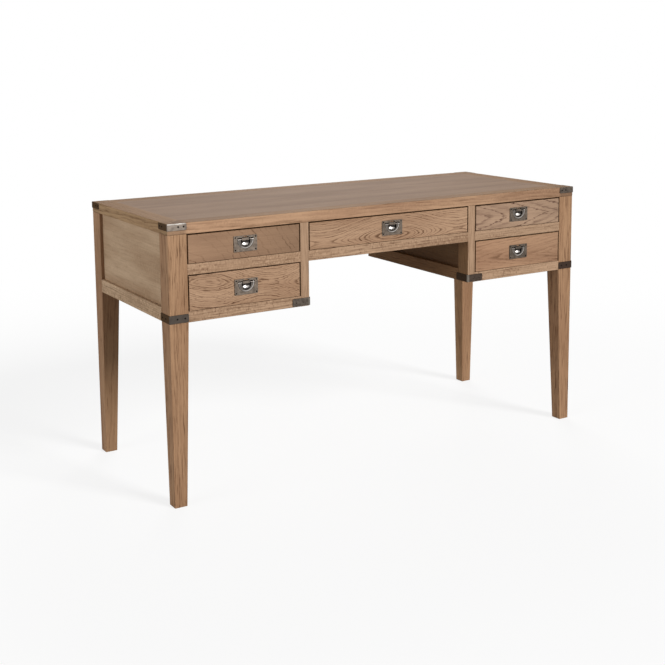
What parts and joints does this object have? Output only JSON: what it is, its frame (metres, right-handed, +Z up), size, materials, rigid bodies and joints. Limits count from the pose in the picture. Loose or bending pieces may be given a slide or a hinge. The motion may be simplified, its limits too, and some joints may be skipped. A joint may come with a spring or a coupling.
{
  "type": "writing desk",
  "caption": "Campaign-style oak writing desk on tapered square legs, with inset drawers over an open kneehole, flush drop pulls and metal corner straps.",
  "frame": {"origin": "on the floor, under the middle of the desk's outline", "axes": "+X along the width to the sitter's right, -Y out of the drawer fronts towards the sitter, +Z up"},
  "size_m": [1.406, 0.556, 0.765],
  "materials": {
    "oak_frame": "brushed, smoked and waxed oak",
    "oak_drawer_front": "brushed crown-cut oak, smoked and waxed",
    "oak_panel": "brushed oak veneer, greyed",
    "oak_top": "brushed oak, greyed and waxed",
    "drawer_box_wood": "plain planed hardwood",
    "antique_metal": "antiqued dark pewter",
    "antique_bail": "antiqued pewter, rubbed bright on its edges",
    "dark_screw": "blackened steel"
  },
  "bodies": {
    "case": {"back_panels": "oak_panel", "back_rails": "oak_frame", "back_stiles": "oak_frame", "bracket_screws": "dark_screw", "drawer_runners": "drawer_box_wood", "drawer_stops": "drawer_box_wood", "front_bottom_rails": "oak_frame", "front_mid_rails": "oak_frame", "front_stiles": "oak_frame", "inner_side_panels": "oak_panel", "inner_side_rails": "oak_frame", "left_side_panel": "oak_panel", "leg_back_left": "oak_frame", "leg_back_right": "oak_frame", "leg_front_left": "oak_frame", "leg_front_right": "oak_frame", "lower_corner_brackets": "antique_metal", "right_side_panel": "oak_panel", "side_rails": "oak_frame", "top_back_rail": "oak_top", "top_corner_brackets": "antique_metal", "top_front_rail": "oak_top", "top_left_rail": "oak_top", "top_panel": "oak_top", "top_right_rail": "oak_top"},
    "left_upper_drawer": {"left_upper_drawer_front": "oak_drawer_front", "left_upper_drawer_sides": "drawer_box_wood", "left_upper_drawer_back": "drawer_box_wood", "left_upper_drawer_bottom": "drawer_box_wood", "left_upper_pull_plate": "antique_metal", "left_upper_pull_screws": "dark_screw"},
    "left_upper_bail": {"left_upper_pull_bail": "antique_bail"},
    "left_lower_drawer": {"left_lower_drawer_front": "oak_drawer_front", "left_lower_drawer_sides": "drawer_box_wood", "left_lower_drawer_back": "drawer_box_wood", "left_lower_drawer_bottom": "drawer_box_wood", "left_lower_pull_plate": "antique_metal", "left_lower_pull_screws": "dark_screw"},
    "left_lower_bail": {"left_lower_pull_bail": "antique_bail"},
    "centre_drawer": {"centre_drawer_front": "oak_drawer_front", "centre_drawer_sides": "drawer_box_wood", "centre_drawer_back": "drawer_box_wood", "centre_drawer_bottom": "drawer_box_wood", "centre_pull_plate": "antique_metal", "centre_pull_screws": "dark_screw"},
    "centre_bail": {"centre_pull_bail": "antique_bail"},
    "right_upper_drawer": {"right_upper_drawer_front": "oak_drawer_front", "right_upper_drawer_sides": "drawer_box_wood", "right_upper_drawer_back": "drawer_box_wood", "right_upper_drawer_bottom": "drawer_box_wood", "right_upper_pull_plate": "antique_metal", "right_upper_pull_screws": "dark_screw"},
    "right_upper_bail": {"right_upper_pull_bail": "antique_bail"},
    "right_lower_drawer": {"right_lower_drawer_front": "oak_drawer_front", "right_lower_drawer_sides": "drawer_box_wood", "right_lower_drawer_back": "drawer_box_wood", "right_lower_drawer_bottom": "drawer_box_wood", "right_lower_pull_plate": "antique_metal", "right_lower_pull_screws": "dark_screw"},
    "right_lower_bail": {"right_lower_pull_bail": "antique_bail"}
  },
  "joints": [
    {"name": "left_upper_drawer_slide", "type": "slide", "parent": "case", "child": "left_upper_drawer", "axis": [0, -1, 0], "range_m": [0, 0.34]},
    {"name": "left_upper_bail_hinge", "type": "hinge", "parent": "left_upper_drawer", "child": "left_upper_bail", "pos_m": [-0.476, -0.2748, 0.7055], "axis": [-1, 0, 0], "range_deg": [0, 90]},
    {"name": "left_lower_drawer_slide", "type": "slide", "parent": "case", "child": "left_lower_drawer", "axis": [0, -1, 0], "range_m": [0, 0.34]},
    {"name": "left_lower_bail_hinge", "type": "hinge", "parent": "left_lower_drawer", "child": "left_lower_bail", "pos_m": [-0.476, -0.2748, 0.588], "axis": [-1, 0, 0], "range_deg": [0, 90]},
    {"name": "centre_drawer_slide", "type": "slide", "parent": "case", "child": "centre_drawer", "axis": [0, -1, 0], "range_m": [0, 0.34]},
    {"name": "centre_bail_hinge", "type": "hinge", "parent": "centre_drawer", "child": "centre_bail", "pos_m": [0, -0.2748, 0.7055], "axis": [-1, 0, 0], "range_deg": [0, 90]},
    {"name": "right_upper_drawer_slide", "type": "slide", "parent": "case", "child": "right_upper_drawer", "axis": [0, -1, 0], "range_m": [0, 0.34]},
    {"name": "right_upper_bail_hinge", "type": "hinge", "parent": "right_upper_drawer", "child": "right_upper_bail", "pos_m": [0.476, -0.2748, 0.7055], "axis": [-1, 0, 0], "range_deg": [0, 90]},
    {"name": "right_lower_drawer_slide", "type": "slide", "parent": "case", "child": "right_lower_drawer", "axis": [0, -1, 0], "range_m": [0, 0.34]},
    {"name": "right_lower_bail_hinge", "type": "hinge", "parent": "right_lower_drawer", "child": "right_lower_bail", "pos_m": [0.476, -0.2748, 0.588], "axis": [-1, 0, 0], "range_deg": [0, 90]}
  ]
}
